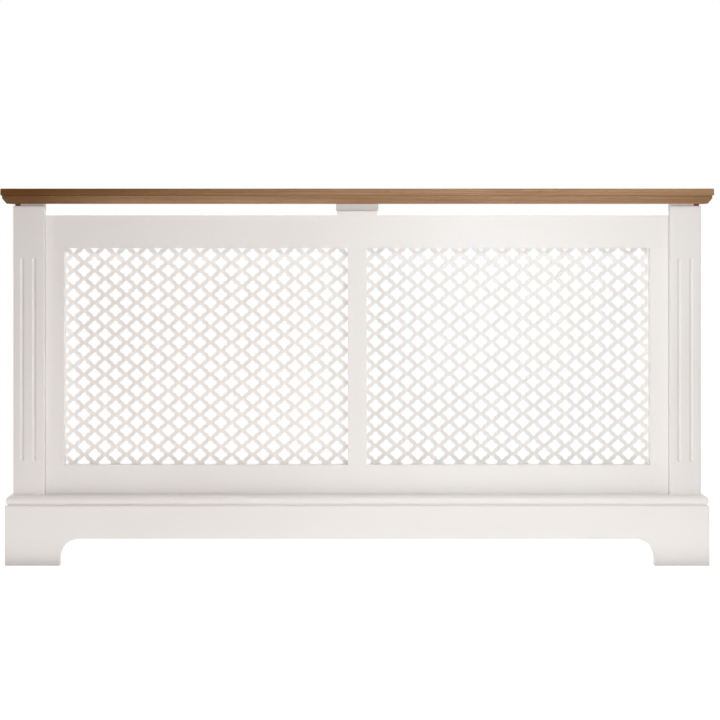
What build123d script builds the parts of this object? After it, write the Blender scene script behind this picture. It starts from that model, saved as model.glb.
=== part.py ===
"""Radiator cover cabinet with an oak shelf, fluted posts and a pierced front panel.

Millimetres.  +Z is up, +X runs along the front and +Y points at the wall.
The origin lies on the floor, under the middle of the shelf.

The cabinet stands over a radiator and is open at the back and below.  Its front panel is
held by magnetic catches and pulls straight forward.  Its shelf rests on four pads and a
block, is kept in place by short battens inside the front corners, and lifts off.
"""
import os

from build123d import *

# ---------------------------------------------------------------- driving dimensions
overall_width = 1540           # across the ends of the shelf
overall_height = 815           # floor to the top of the shelf
overall_depth = 200            # wall to the front edge of the shelf

shelf_overhang = 8.5           # shelf edge beyond the skirting, at the front and both ends
skirting_thickness = 15
side_thickness = 15            # side panels
post_width = 67
post_thickness = 18
panel_recess = 16              # face of the front panel behind the face of the posts
panel_side_gap = 0.5           # running gap between the front panel and each post
panel_floor_gap = 0.3          # running gap between the front panel and the sill

# shelf
board_thickness = 15
board_arris = 2
moulding_height = 17.5
moulding_setback = 3.5         # moulding face behind the edge of the board
moulding_fillet_height = 6     # plain band at the top of the moulding
moulding_bevel_depth = 10.5    # how far the bevel runs in at the bottom
air_gap = 4.5                  # between the shelf and the tops of the posts
vent_height = 25               # warm-air slot between the shelf and the front panel
batten_drop = 32               # battens below the board
corner_batten_width = 50       # short battens behind the posts, with a lip over the posts
corner_batten_thickness = 12
centre_batten_width = 92
batten_wall_gap = 10
shelf_fit = 0.5                # clearance that lets the shelf drop into place

# pads that carry the shelf: in front on the posts, at the back on the side panels
pad_side = 11                  # square pads
pad_end_inset = 9.5            # middle of a pad from the outer face of the side panel
pad_front_inset = 2            # pads and battens' lips from the front of the post
pad_rear_inset = 25            # from the wall

# posts
post_arris = 2.0
flute_width = 9
flute_depth = 3
flute_spacing = 26
flute_bottom_inset = 10        # flutes start above the level of the bottom rail's top edge
flute_top_inset = 20.8         # and stop below the level of the top rail's bottom edge

# skirting
skirting_height = 150
nose_setback = 1.5             # widest point of the moulded nose behind the skirting face
nose_radius = 10               # rounding of the nose above its plain band
nose_band_height = 3.3
nose_under_radius = 4.5        # rounding below the band
groove_depth = 7.5
groove_height = 3.3
groove_shoulder = 2            # rounding where the groove runs out into the face
arch_half_width = 643
arch_height = 58
arch_corner_radius = 43

# carcass behind the skirting and beside the front panel
sill_thickness = 18
plinth_rail_thickness = 18
plinth_rail_setback = 4        # rail kept above the top of the arch
stop_thickness = 18
stop_overlap = 17.5            # stop behind the edge of the front panel
wall_notch_height = 125        # rear corner cut away for the room's own skirting
wall_notch_depth = 20

# front panel
frame_thickness = 18
stile_width = 40
mullion_width = 41
top_rail_width = 71.5
bottom_rail_width = 63
tenon_thickness = 6
tenon_length = 12
tenon_shoulder = 6             # width taken off each side of a tenon
mortise_end_gap = 0.5
rest_block_width = 88

# pierced sheets
sheet_thickness = 3
sheet_overlap = 12             # sheet behind the edge of its opening
hole_width = 27.5
hole_height = 27
hole_pitch_across = 46.2
hole_pitch_up = 35
first_column_offset = 18.3     # first column of holes from the left edge of the opening
first_row_offset = 14          # centre of the top row of holes below the top rail
least_edge = 6                 # from a hole's centre to the opening's edge, else it is left out
bead_width = 11
bead_thickness = 9

# magnetic catches
catch_width = 14
catch_height = 40
catch_end_gap = 8              # catch clear of the top of the stop and of the sill
magnet_width = 8
magnet_height = 24
magnet_depth = 10
magnet_proud = 0.5
strike_thickness = 1.5
strike_width = 12
strike_height = 34

# wall brackets
bracket_leg = 40
bracket_width = 30
bracket_gauge = 2
bracket_drop = 53              # top of the bracket below the shelf's battens
bracket_hole_diameter = 5
bracket_hole_inset = 15        # hole from the tip of the leg

# ---------------------------------------------------------------- levels and lines
wall_y = overall_depth / 2
shelf_front = -overall_depth / 2
shelf_half = overall_width / 2

shelf_top = overall_height
board_bottom = shelf_top - board_thickness
moulding_bottom = board_bottom - moulding_height
post_top = moulding_bottom - air_gap
batten_bottom = board_bottom - batten_drop
panel_top = moulding_bottom - vent_height
rest_block_top = batten_bottom - shelf_fit

base_half = shelf_half - shelf_overhang
carcass_half = base_half - skirting_thickness
side_inner = carcass_half - side_thickness
post_inner = carcass_half - post_width
panel_half = post_inner - panel_side_gap
stop_inner = panel_half - stop_overlap

base_front = shelf_front + shelf_overhang
post_front = base_front + skirting_thickness
post_back = post_front + post_thickness
panel_front = post_front + panel_recess
panel_back = panel_front + frame_thickness
stop_back = panel_back + stop_thickness
notch_y = wall_y - wall_notch_depth

sill_bottom = skirting_height - sill_thickness
panel_bottom = skirting_height + panel_floor_gap
opening_bottom = panel_bottom + bottom_rail_width
opening_top = panel_top - top_rail_width
opening_outer = panel_half - stile_width
opening_inner = mullion_width / 2
tenon_y = panel_front + (frame_thickness - tenon_thickness) / 2
sheet_back = panel_back + sheet_thickness
strike_back = panel_back + strike_thickness

nodes = {}


# ---------------------------------------------------------------- helpers
def board(x, y, z):
    """A square-edged board between two limits on each axis."""
    size = (x[1] - x[0], y[1] - y[0], z[1] - z[0])
    middle = ((x[0] + x[1]) / 2, (y[0] + y[1]) / 2, (z[0] + z[1]) / 2)
    return Pos(*middle) * Box(*size)


def opposite(shape):
    """The same piece at the other end of the cabinet."""
    return mirror(shape, about=Plane.YZ)


def pair(name, left):
    """Store a left-hand piece and its mirror image as two nodes."""
    nodes[name + "_left"] = left
    nodes[name + "_right"] = opposite(left)


def group(shapes):
    """Several separate solids that share one node."""
    return Compound([solid for shape in shapes for solid in shape.solids()])


def run_of(profile, start, outward, along, length):
    """Extrude a moulding profile; its local X looks outward and its local Y looks up."""
    return extrude(Plane(origin=start, x_dir=outward, z_dir=along) * profile, amount=length)


def mitred_surround(profile, half_width, front, back, width, bottom, height):
    """Front and left runs of a moulding that wraps the front and both ends."""
    front_run = run_of(profile, (half_width, front + width, bottom), (0, -1, 0), (-1, 0, 0), 2 * half_width)
    left_run = run_of(profile, (width - half_width, front, bottom), (-1, 0, 0), (0, 1, 0), back - front)
    corner, inner = (-half_width, front), (width - half_width, front + width)
    front_plan = make_face(Polyline(corner, inner, (-inner[0], inner[1]), (-corner[0], front), close=True))
    left_plan = make_face(Polyline(corner, inner, (inner[0], back), (-half_width, back), close=True))
    front_block, left_block = (
        extrude(Pos(0, 0, bottom) * plan, amount=height) for plan in (front_plan, left_plan)
    )
    return front_run & front_block, left_run & left_block


# ---------------------------------------------------------------- shelf
def shelf_moulding_profile():
    """Section of the moulding under the shelf: a plain band above a bevel."""
    width = moulding_width()
    fillet_bottom = moulding_height - moulding_fillet_height
    return make_face(
        Polyline(
            (0, 0),
            (width - moulding_bevel_depth, 0),
            (width, fillet_bottom),
            (width, moulding_height),
            (0, moulding_height),
            close=True,
        )
    )


def moulding_width():
    """The moulding's inner edge lines up with the inner faces of the side panels."""
    return shelf_half - moulding_setback - side_inner


def make_shelf():
    """Oak board, mitred moulding, and battens whose lips close the gaps over the posts."""
    top_board = board((-shelf_half, shelf_half), (shelf_front, wall_y), (board_bottom, shelf_top))
    wall_face = top_board.faces().sort_by(Axis.Y)[-1]
    shown_edges = [edge for edge in top_board.edges() if edge not in wall_face.edges()]
    nodes["shelf_board"] = chamfer(shown_edges, board_arris)

    front, left = mitred_surround(
        shelf_moulding_profile(),
        shelf_half - moulding_setback,
        shelf_front + moulding_setback,
        wall_y,
        moulding_width(),
        moulding_bottom,
        moulding_height,
    )
    nodes["shelf_moulding_front"] = front
    pair("shelf_moulding", left)

    batten_front = post_back + shelf_fit
    batten_z = (batten_bottom, board_bottom)
    outer = side_inner - shelf_fit
    corner_x = (-outer, corner_batten_width - outer)
    batten = board(corner_x, (batten_front, batten_front + corner_batten_thickness), batten_z)
    lip_y = (post_front + pad_front_inset, batten_front)
    pair("shelf_batten", batten + board(corner_x, lip_y, (post_top + shelf_fit, moulding_bottom)))
    half = centre_batten_width / 2
    nodes["shelf_batten_centre"] = board((-half, half), (batten_front, wall_y - batten_wall_gap), batten_z)


# ---------------------------------------------------------------- posts and sides
def make_post():
    """Fluted post that covers the front edge of a side panel."""
    blank = board((-carcass_half, -post_inner), (post_front, post_back), (0, post_top))
    front_face = blank.faces().sort_by(Axis.Y)[0]
    blank = chamfer(front_face.edges().filter_by(Axis.Z), post_arris)
    middle = -(carcass_half + post_inner) / 2
    bottom, top = opening_bottom + flute_bottom_inset, opening_top - flute_top_inset
    radius = (flute_width ** 2 / 4 + flute_depth ** 2) / (2 * flute_depth)
    axis_y = post_front + flute_depth - radius
    for x in (middle - flute_spacing / 2, middle + flute_spacing / 2):
        blank -= Pos(x, axis_y, (bottom + top) / 2) * Cylinder(radius, top - bottom)
    return blank


def make_sides():
    """Side panels, posts, packers beside the front panel, stops behind it and shelf pads."""
    side = board((-carcass_half, -side_inner), (post_back, wall_y), (0, post_top))
    side -= board((-carcass_half, -side_inner), (notch_y, wall_y), (0, wall_notch_height))
    pair("side_panel", side)
    pair("post", make_post())
    pair("panel_packer", board((-side_inner, -post_inner), (post_back, panel_back), (0, panel_top)))
    pair("panel_stop", board((-side_inner, -stop_inner), (panel_back, stop_back), (0, panel_top)))
    x = carcass_half - pad_end_inset
    z = (post_top + moulding_bottom) / 2
    rows = (post_front + pad_front_inset + pad_side / 2, wall_y - pad_rear_inset)
    pads = [Pos(side * x, y, z) * Box(pad_side, pad_side, air_gap) for side in (-1, 1) for y in rows]
    nodes["shelf_pads"] = group(pads)


# ---------------------------------------------------------------- skirting
def skirting_profile():
    """Section of the skirting: face, groove and a nose rounded above and below its plain band."""
    face = skirting_thickness
    nose = face - nose_setback
    band_top = skirting_height - nose_radius
    band_bottom = band_top - nose_band_height
    nose_bottom = band_bottom - nose_under_radius
    groove_bottom = nose_bottom - groove_height
    shoulder = groove_bottom - groove_shoulder
    outline = Polyline(
        (nose - nose_radius, skirting_height),
        (0, skirting_height),
        (0, 0),
        (face, 0),
        (face, shoulder),
    )
    outline += RadiusArc((face, shoulder), (face - groove_shoulder, groove_bottom), -groove_shoulder)
    outline += Polyline(
        (face - groove_shoulder, groove_bottom),
        (face - groove_depth, groove_bottom),
        (face - groove_depth, nose_bottom),
        (nose - nose_under_radius, nose_bottom),
    )
    under = (nose - nose_under_radius, nose_bottom), (nose, band_bottom)
    outline += RadiusArc(*under, -nose_under_radius)
    outline += Line((nose, band_bottom), (nose, band_top))
    outline += RadiusArc((nose, band_top), (nose - nose_radius, skirting_height), -nose_radius)
    return make_face(outline)


def make_skirting():
    """Arched skirting with mitred returns, and the sill and rail behind it."""
    front, left = mitred_surround(
        skirting_profile(), base_half, base_front, notch_y, skirting_thickness, 0, skirting_height
    )
    arch = RectangleRounded(2 * arch_half_width, 2 * arch_height, arch_corner_radius)
    face_plane = Plane(origin=(0, base_front, 0), x_dir=(1, 0, 0), z_dir=(0, -1, 0))
    nodes["skirting_front"] = front - extrude(face_plane * arch, amount=-skirting_thickness)
    pair("skirting_return", left)

    span = (-post_inner, post_inner)
    nodes["front_sill"] = board(span, (post_front, panel_back), (sill_bottom, skirting_height))
    rail_bottom = arch_height + plinth_rail_setback
    rail_back = post_front + plinth_rail_thickness
    nodes["plinth_rail"] = board(span, (post_front, rail_back), (rail_bottom, sill_bottom))


# ---------------------------------------------------------------- front panel
def tenon(x, z):
    """A stub tenon, or with the gap added a mortise, in the middle of the frame's thickness."""
    return board(x, (tenon_y, tenon_y + tenon_thickness), z)


def make_upright(x):
    """Stile or mullion with a stub tenon at each end."""
    shoulders = (x[0] + tenon_shoulder, x[1] - tenon_shoulder)
    body = board(x, (panel_front, panel_back), (opening_bottom, opening_top))
    return body + tenon(shoulders, (opening_bottom - tenon_length, opening_top + tenon_length))


def make_rail(z, edge, into):
    """Rail across the whole panel, mortised along the edge that meets the uprights."""
    rail = board((-panel_half, panel_half), (panel_front, panel_back), z)
    depth = into * (tenon_length + mortise_end_gap)
    reach = (min(edge, edge + depth), max(edge, edge + depth))
    for x in upright_spans():
        rail -= tenon((x[0] + tenon_shoulder, x[1] - tenon_shoulder), reach)
    return rail


def upright_spans():
    """X limits of the left stile, the mullion and the right stile."""
    return [
        (-panel_half, -opening_outer),
        (-opening_inner, opening_inner),
        (opening_outer, panel_half),
    ]


def hole_places(left, right, first_level):
    """One half of a staggered pattern: columns across the opening, rows down it."""
    places = []
    x = left
    while x <= right - least_edge:
        z = first_level
        while z >= opening_bottom + least_edge:
            places.append((x, z))
            z -= hole_pitch_up
        x += hole_pitch_across
    return places


def sheet_limits(left, right):
    """X and Z limits of the sheet behind one opening."""
    x = (left - sheet_overlap, right + sheet_overlap)
    z = (opening_bottom - sheet_overlap, opening_top + sheet_overlap)
    return x, z


def upright_polygon(points):
    """Closed outline in the plane of the sheets' front faces."""
    return Wire.make_polygon([(x, panel_back, z) for x, z in points])


def pierced_sheet(left, right):
    """Solid sheet behind one opening, cut by the staggered pattern of holes."""
    (x0, x1), (z0, z1) = sheet_limits(left, right)
    first_column = left + first_column_offset
    first_row = opening_top - first_row_offset
    places = hole_places(first_column, right, first_row - hole_pitch_up / 2)
    places += hole_places(first_column + hole_pitch_across / 2, right, first_row)
    across, up = hole_width / 2, hole_height / 2
    rim = upright_polygon([(x0, z0), (x1, z0), (x1, z1), (x0, z1)])
    holes = [upright_polygon([(x - across, z), (x, z - up), (x + across, z), (x, z + up)]) for x, z in places]
    return Solid.extrude(Face(rim, holes), (0, sheet_thickness, 0))


def sheet_beads(left, right):
    """Four beads that hold a sheet to the back of the frame."""
    (x0, x1), (z0, z1) = sheet_limits(left, right)
    y = (sheet_back, sheet_back + bead_thickness)
    return group(
        [
            board((x0, x1), y, (z0, z0 + bead_width)),
            board((x0, x1), y, (z1 - bead_width, z1)),
            board((x0, x0 + bead_width), y, (z0 + bead_width, z1 - bead_width)),
            board((x1 - bead_width, x1), y, (z0 + bead_width, z1 - bead_width)),
        ]
    )


def make_front_panel():
    """Frame of rails, stiles and mullion, with a pierced sheet behind each opening."""
    nodes["top_rail"] = make_rail((opening_top, panel_top), opening_top, 1)
    nodes["bottom_rail"] = make_rail((panel_bottom, opening_bottom), opening_bottom, -1)
    for name, x in zip(("stile_left", "mullion", "stile_right"), upright_spans()):
        nodes[name] = make_upright(x)
    half = rest_block_width / 2
    nodes["shelf_rest_block"] = board((-half, half), (panel_front, panel_back), (panel_top, rest_block_top))
    openings = {"left": (-opening_outer, -opening_inner), "right": (opening_inner, opening_outer)}
    for side, (left, right) in openings.items():
        nodes["grille_" + side] = pierced_sheet(left, right)
        nodes["grille_beads_" + side] = sheet_beads(left, right)


# ---------------------------------------------------------------- fittings
def catch_levels():
    """Heights of the middles of the lower and upper catches."""
    reach = catch_end_gap + catch_height / 2
    return (skirting_height + reach, panel_top - reach)


def centred(x, y, z, width, height):
    """A board given by its middle in X and Z and its limits in Y."""
    return board((x - width / 2, x + width / 2), y, (z - height / 2, z + height / 2))


def make_catches():
    """Magnetic catches on the inner edges of the stops, and their strikes on the panel."""
    x = stop_inner - catch_width / 2
    face = strike_back + magnet_proud
    places = [(side * x, z) for side in (-1, 1) for z in catch_levels()]
    magnet_y = (strike_back, strike_back + magnet_depth)
    magnets = [centred(x, magnet_y, z, magnet_width, magnet_height) for x, z in places]
    cases = [centred(x, (face, stop_back), z, catch_width, catch_height) for x, z in places]
    strikes = [centred(x, (panel_back, strike_back), z, strike_width, strike_height) for x, z in places]
    nodes["catch_cases"] = group([case - magnet for case, magnet in zip(cases, magnets)])
    nodes["catch_magnets"] = group(magnets)
    nodes["catch_strikes"] = group(strikes)


def make_bracket():
    """Angle bracket between the left side panel and the wall."""
    top = batten_bottom - bracket_drop
    z = (top - bracket_width, top)
    wall_leg = board((-side_inner, bracket_leg - side_inner), (wall_y - bracket_gauge, wall_y), z)
    side_leg = board((-side_inner, bracket_gauge - side_inner), (wall_y - bracket_leg, wall_y), z)
    x = bracket_leg - side_inner - bracket_hole_inset
    middle = top - bracket_width / 2
    hole = Pos(x, wall_y, middle) * Rot(X=90) * Cylinder(bracket_hole_diameter / 2, 2 * bracket_gauge)
    return wall_leg + side_leg - hole


def make_fittings():
    """Catches and wall brackets."""
    make_catches()
    bracket = make_bracket()
    nodes["wall_brackets"] = group([bracket, opposite(bracket)])


make_shelf()
make_sides()
make_skirting()
make_front_panel()
make_fittings()

os.makedirs("parts", exist_ok=True)
for name, shape in nodes.items():
    export_step(shape, f"parts/{name}.step")
    print(name, len(shape.solids()), round(shape.volume))
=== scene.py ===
"""Looks of the radiator cover cabinet, laid out as an add-on and run as a script.

Metres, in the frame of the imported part: +Z is up, the front faces -Y and the wall is at +Y.
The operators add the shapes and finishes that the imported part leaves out: lobed holes, V-shaped
flutes with rounded ends, softened mouldings and edges, screw heads, grain and paint.
"""

import math

import bmesh
import bpy
from mathutils import Matrix, Vector


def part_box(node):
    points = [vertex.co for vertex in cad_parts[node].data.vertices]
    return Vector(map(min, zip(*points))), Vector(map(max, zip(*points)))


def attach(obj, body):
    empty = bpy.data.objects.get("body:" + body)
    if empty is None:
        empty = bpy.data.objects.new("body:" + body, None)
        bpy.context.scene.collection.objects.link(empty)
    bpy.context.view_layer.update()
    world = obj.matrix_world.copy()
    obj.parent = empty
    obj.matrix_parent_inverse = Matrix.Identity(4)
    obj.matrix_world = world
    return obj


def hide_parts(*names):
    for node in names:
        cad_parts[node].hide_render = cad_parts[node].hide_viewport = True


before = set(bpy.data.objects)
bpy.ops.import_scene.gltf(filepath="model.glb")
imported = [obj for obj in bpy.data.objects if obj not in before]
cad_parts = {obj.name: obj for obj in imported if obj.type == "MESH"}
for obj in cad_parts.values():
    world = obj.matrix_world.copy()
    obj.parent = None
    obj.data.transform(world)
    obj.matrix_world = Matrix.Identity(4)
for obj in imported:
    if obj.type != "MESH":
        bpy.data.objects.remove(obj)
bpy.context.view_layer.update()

bl_info = {
    "name": "Radiator Cover Cabinet",
    "version": (1, 0, 0),
    "blender": (4, 5, 0),
    "location": "3D View > Sidebar > Cabinet",
    "description": "Builds the finishes and fine shapes of a radiator cover cabinet",
    "category": "Add Mesh",
}

MM = 0.001
WELD_DISTANCE = 1e-6
SHARP_ANGLE = math.radians(32)
SIDES = ((-1, "left"), (1, "right"))

# camera and framing, measured on a picture of 720 x 720 pixels
PICTURE_SIDE = 720
EYE = Vector((0, -3.6, 0.72))
PIXELS_PER_METRE = 1623.4      # focal length in pixels
CENTRE_COLUMN = 357.15         # column of the cabinet's middle
EYE_ROW = 232.6                # row of the eye's height
SENSOR = 36                    # width of the camera's sensor in millimetres


def linear(red, green, blue):
    """Linear colour of an sRGB colour given in 0 to 255."""
    def channel(value):
        value /= 255
        return value / 12.92 if value <= 0.04045 else ((value + 0.055) / 1.055) ** 2.4
    return tuple(channel(value) for value in (red, green, blue))


# ---------------------------------------------------------------- settings
class CabinetSizes(bpy.types.PropertyGroup):
    """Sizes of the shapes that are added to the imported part."""

    shelf_arris: bpy.props.FloatProperty(
        name="Shelf arris", description="Rounding of the shelf's shown edges",
        default=2.4 * MM, min=0.0, unit="LENGTH")
    paint_arris: bpy.props.FloatProperty(
        name="Paint arris", description="Rounding of painted edges",
        default=0.6 * MM, min=0.0, unit="LENGTH")
    fitted_arris: bpy.props.FloatProperty(
        name="Fitted arris", description="Rounding of the edges of the front panel's frame",
        default=0.2 * MM, min=0.0, unit="LENGTH")
    post_arris: bpy.props.FloatProperty(
        name="Post arris", description="Rounding of the posts' front corners",
        default=1.2 * MM, min=0.0, unit="LENGTH")
    flute_width: bpy.props.FloatProperty(
        name="Flute width", description="Width of a flute across its mouth",
        default=9 * MM, min=0.0, unit="LENGTH")
    flute_depth: bpy.props.FloatProperty(
        name="Flute depth", description="Depth of a flute at its middle",
        default=3 * MM, min=0.0, unit="LENGTH")
    flute_spacing: bpy.props.FloatProperty(
        name="Flute spacing", description="Distance between the two flutes of a post",
        default=26 * MM, min=0.0, unit="LENGTH")
    flute_shift: bpy.props.FloatProperty(
        name="Flute shift", description="Distance of the flutes along X from the middle of a post",
        default=-1 * MM, unit="LENGTH")
    flute_low: bpy.props.FloatProperty(
        name="Flute bottom", description="Height of the flutes' lower ends",
        default=223.3 * MM, min=0.0, unit="LENGTH")
    flute_high: bpy.props.FloatProperty(
        name="Flute top", description="Height of the flutes' upper ends",
        default=665.2 * MM, min=0.0, unit="LENGTH")
    hole_scale: bpy.props.FloatProperty(
        name="Hole scale", description="Size of the lobed holes against their drawn size",
        default=1.0, min=0.5, max=1.2)
    pitch_across: bpy.props.FloatProperty(
        name="Pitch across", description="Distance between columns of holes of one lattice",
        default=46.2 * MM, min=0.0, unit="LENGTH")
    pitch_up: bpy.props.FloatProperty(
        name="Pitch up", description="Distance between rows of holes of one lattice",
        default=35.05 * MM, min=0.0, unit="LENGTH")
    arch_arris: bpy.props.FloatProperty(
        name="Arch arris", description="Rounding of the arch's front edge",
        default=1.5 * MM, min=0.0, unit="LENGTH")


class CabinetColours(bpy.types.PropertyGroup):
    """Colours of the finishes."""

    paint: bpy.props.FloatVectorProperty(
        name="Paint", description="Satin paint of the cabinet and its front panel",
        default=linear(240, 237, 233), size=3, min=0.0, max=1.0, subtype="COLOR")
    # painted light: a whiter copy of the cabinet's paint, so the battens in the shade under the shelf look
    # lit
    batten_paint: bpy.props.FloatVectorProperty(
        name="Batten paint", description="Paint of the battens under the shelf",
        default=linear(246, 244, 242), size=3, min=0.0, max=1.0, subtype="COLOR")
    oak: bpy.props.FloatVectorProperty(
        name="Oak", description="Sawn face of the oak between its pores",
        default=linear(178, 142, 107), size=3, min=0.0, max=1.0, subtype="COLOR")
    oak_late: bpy.props.FloatVectorProperty(
        name="Oak rings", description="Darker bands of the oak's growth rings",
        default=linear(140, 103, 70), size=3, min=0.0, max=1.0, subtype="COLOR")
    # painted shade: the tint the oak is drawn towards where shade is painted on it, most at its left end
    oak_darkening: bpy.props.FloatVectorProperty(
        name="Oak darkening", description="Tint of the shade where the oak is darkest",
        default=(0.32, 0.20, 0.045), size=3, min=0.0, max=1.0, subtype="COLOR")
    rubber: bpy.props.FloatVectorProperty(
        name="Pads", description="Pads under the shelf",
        default=linear(128, 80, 58), size=3, min=0.0, max=1.0, subtype="COLOR")
    plastic: bpy.props.FloatVectorProperty(
        name="Catch plastic", description="Moulded cases of the catches",
        default=linear(222, 219, 212), size=3, min=0.0, max=1.0, subtype="COLOR")
    steel: bpy.props.FloatVectorProperty(
        name="Steel", description="Ground pole plates of the catches",
        default=linear(150, 148, 145), size=3, min=0.0, max=1.0, subtype="COLOR")
    zinc: bpy.props.FloatVectorProperty(
        name="Zinc", description="Plated brackets, strikes and screws",
        default=linear(186, 188, 190), size=3, min=0.0, max=1.0, subtype="COLOR")


# ---------------------------------------------------------------- mesh helpers
def arc(centre, radius, start, end, steps):
    """Points along an arc, both ends included; angles in degrees."""
    angles = (math.radians(start + (end - start) * step / steps) for step in range(steps + 1))
    return [(centre[0] + radius * math.cos(a), centre[1] + radius * math.sin(a)) for a in angles]


def rounded(corners, steps):
    """Closed outline with each (x, y, radius) corner rounded in the given number of steps."""
    outline = []
    for index, (x, y, radius) in enumerate(corners):
        corner = Vector((x, y))
        if radius == 0:
            outline.append(corner)
            continue
        before = (Vector(corners[index - 1][:2]) - corner).normalized()
        after = (Vector(corners[(index + 1) % len(corners)][:2]) - corner).normalized()
        half = before.angle(after) / 2
        centre = corner + (before + after).normalized() * radius / math.sin(half)
        start = corner + before * radius / math.tan(half) - centre
        end = corner + after * radius / math.tan(half) - centre
        for step in range(steps + 1):
            share = step / steps
            outline.append(centre + (start * (1 - share) + end * share).normalized() * radius)
    return outline


def skin(bm, rings):
    """Faces between successive closed rings of corners, with the first and last ring capped."""
    made = [[bm.verts.new(point) for point in ring] for ring in rings]
    for near, far in zip(made, made[1:]):
        for index in range(len(near)):
            following = (index + 1) % len(near)
            bm.faces.new((near[index], near[following], far[following], far[index]))
    bm.faces.new(made[0])
    bm.faces.new(reversed(made[-1]))


def patch(bm, rows):
    """Open grid of faces between successive rows of corners."""
    made = [[bm.verts.new(point) for point in row] for row in rows]
    for near, far in zip(made, made[1:]):
        for index in range(len(near) - 1):
            bm.faces.new((near[index], near[index + 1], far[index + 1], far[index]))


def weld(bm):
    """Join corners that lie on each other, drop empty faces and turn all faces outward."""
    bmesh.ops.remove_doubles(bm, verts=bm.verts, dist=WELD_DISTANCE)
    bmesh.ops.dissolve_degenerate(bm, edges=bm.edges, dist=WELD_DISTANCE)
    bmesh.ops.recalc_face_normals(bm, faces=bm.faces)


def soften(piece, width, angle=30):
    """Round a piece's edges with modifiers, which leave its own mesh as it is."""
    join = piece.modifiers.new("Weld", "WELD")
    join.merge_threshold = 10 * WELD_DISTANCE
    bevel = piece.modifiers.new("Arris", "BEVEL")
    bevel.width = width
    bevel.segments = 2
    bevel.limit_method = "ANGLE"
    bevel.angle_limit = math.radians(angle)
    bevel.harden_normals = True
    return piece


def piece_from(bm, name, body, material, replaced=()):
    """Turn a finished bmesh into a piece that rides on its body."""
    weld(bm)
    mesh = bpy.data.meshes.new(name)
    bm.to_mesh(mesh)
    bm.free()
    mesh.shade_smooth()
    mesh.set_sharp_from_angle(angle=SHARP_ANGLE)
    mesh.materials.append(material)
    piece = bpy.data.objects.new(name, mesh)
    bpy.context.scene.collection.objects.link(piece)
    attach(piece, body)
    if replaced:
        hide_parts(*replaced)
    return piece


def box_bm(low, high):
    """Bmesh of a square-edged box."""
    bm = bmesh.new()
    size = [b - a for a, b in zip(low, high)]
    middle = [(a + b) / 2 for a, b in zip(low, high)]
    bmesh.ops.create_cube(bm, size=1, matrix=Matrix.Translation(middle) @ Matrix.Diagonal((*size, 1)))
    return bm


def finish_node(name, material, arris):
    """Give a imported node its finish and, where asked, softened edges."""
    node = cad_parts[name]
    node.data.materials.clear()
    node.data.materials.append(material)
    if arris:
        soften(node, arris)
    return node


# ---------------------------------------------------------------- material helpers
def opaque(value):
    """A colour of three numbers with full alpha; anything else as it is."""
    return (*value, 1) if isinstance(value, tuple) and len(value) == 3 else value


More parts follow.
